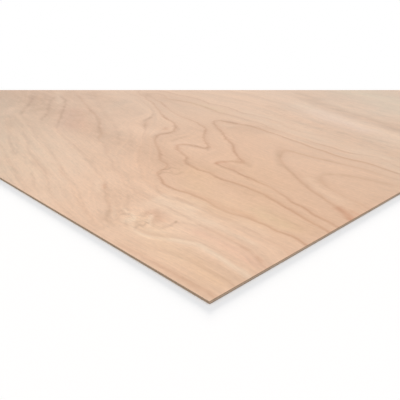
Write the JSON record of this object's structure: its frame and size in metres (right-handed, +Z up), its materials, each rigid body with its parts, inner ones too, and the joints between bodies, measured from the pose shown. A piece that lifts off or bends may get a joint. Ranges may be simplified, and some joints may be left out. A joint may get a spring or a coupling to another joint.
{
  "type": "plywood sheet",
  "caption": "Full thin plywood sheet of pale rotary-cut hardwood: cross-laminated veneers, square sawn edges, lying flat.",
  "frame": {"origin": "middle of the back face, on which the sheet lies", "axes": "+X across the sheet, +Y along it and along the grain of its outer veneers, +Z up out of the show face"},
  "size_m": [1.22, 2.44, 0.0032],
  "materials": {
    "face_veneer_wood": "sanded, unfinished",
    "core_veneer_wood": "sawn edge, unfinished",
    "back_veneer_wood": "sanded, unfinished"
  },
  "bodies": {
    "root": {"face_veneer": "face_veneer_wood", "core_veneer": "core_veneer_wood", "back_veneer": "back_veneer_wood"}
  },
  "joints": []
}
